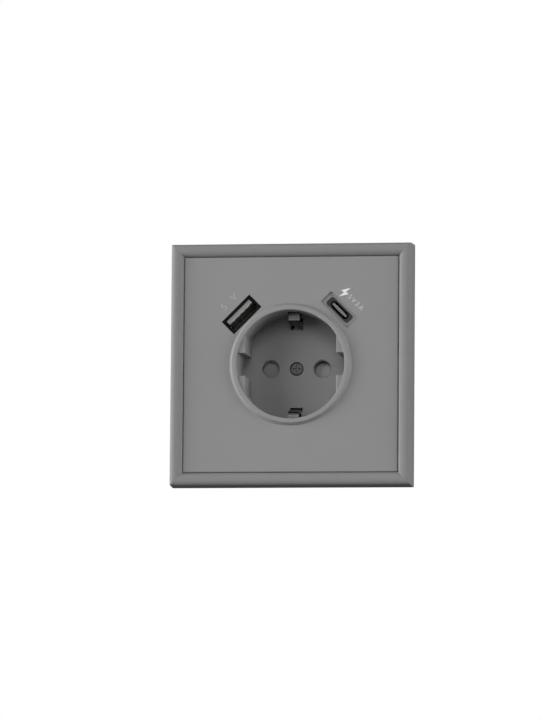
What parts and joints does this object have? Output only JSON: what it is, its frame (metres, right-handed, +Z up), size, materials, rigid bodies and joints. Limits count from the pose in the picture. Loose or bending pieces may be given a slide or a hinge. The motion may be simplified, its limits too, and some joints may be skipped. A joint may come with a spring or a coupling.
{
  "type": "flush wall socket with charging ports",
  "caption": "Square earthed flush wall socket with a round recess, sprung shutter, earth clips and angled charging ports.",
  "frame": {"origin": "middle of the square frame, on the wall plane", "axes": "+Z up, the front faces -Y, +X to the right of someone who faces the socket; the box in the wall is at +Y"},
  "size_m": [0.088, 0.0448, 0.088],
  "materials": {
    "frame_plastic": "matte anthracite grey, fine eroded texture",
    "plate_plastic": "matte anthracite grey, fine eroded texture",
    "shutter_plastic": "moulded grey",
    "base_plastic": "moulded white thermoset",
    "housing_plastic": "moulded black",
    "black_plastic": "moulded black",
    "tongue_plastic": "moulded grey",
    "fibre_sheet": "pressed fibre",
    "screw_steel": "zinc plated",
    "spring_steel": "bright spring wire",
    "clip_steel": "nickel plated strip",
    "port_steel": "tin plated sheet",
    "yoke_steel": "galvanised sheet",
    "brass": "rolled strip",
    "gold": "gold plated",
    "board": "green solder mask",
    "ferrite": "sintered core, taped winding",
    "can_sleeve": "shrink sleeve"
  },
  "bodies": {
    "socket": {"base_rivets": "screw_steel", "bridge_rectifier": "black_plastic", "carrier_screws": "screw_steel", "contact_cover": "fibre_sheet", "cover_plate": "plate_plastic", "cover_screw": "screw_steel", "earth_bracket": "clip_steel", "earth_clamp": "brass", "earth_screw": "screw_steel", "housing_screws": "screw_steel", "input_capacitor": "can_sleeve", "link_pins": "gold", "live_clamp": "brass", "live_contact": "brass", "live_screw": "screw_steel", "mounting_yoke": "yoke_steel", "neutral_clamp": "brass", "neutral_contact": "brass", "neutral_screw": "screw_steel", "outer_frame": "frame_plastic", "output_capacitor": "can_sleeve", "power_board": "board", "rear_housing": "housing_plastic", "shutter_spring": "spring_steel", "socket_base": "base_plastic", "transformer": "ferrite", "usb_a_collar": "black_plastic", "usb_a_contacts": "gold", "usb_a_shell": "port_steel", "usb_a_tongue": "tongue_plastic", "usb_board": "board", "usb_c_collar": "black_plastic", "usb_c_contacts": "gold", "usb_c_shell": "port_steel", "usb_c_tongue": "tongue_plastic", "usb_carrier": "black_plastic", "usb_controller": "black_plastic"},
    "shutter": {"shutter": "shutter_plastic"}
  },
  "joints": [
    {"name": "shutter_turn", "type": "hinge", "parent": "socket", "child": "shutter", "pos_m": [0, 0.0122, 0], "axis": [0, 1, 0], "range_deg": [0, 42], "stiffness_Nm_per_rad": 0.004, "springref_deg": -8.59, "deforming": ["shutter_spring"]}
  ]
}
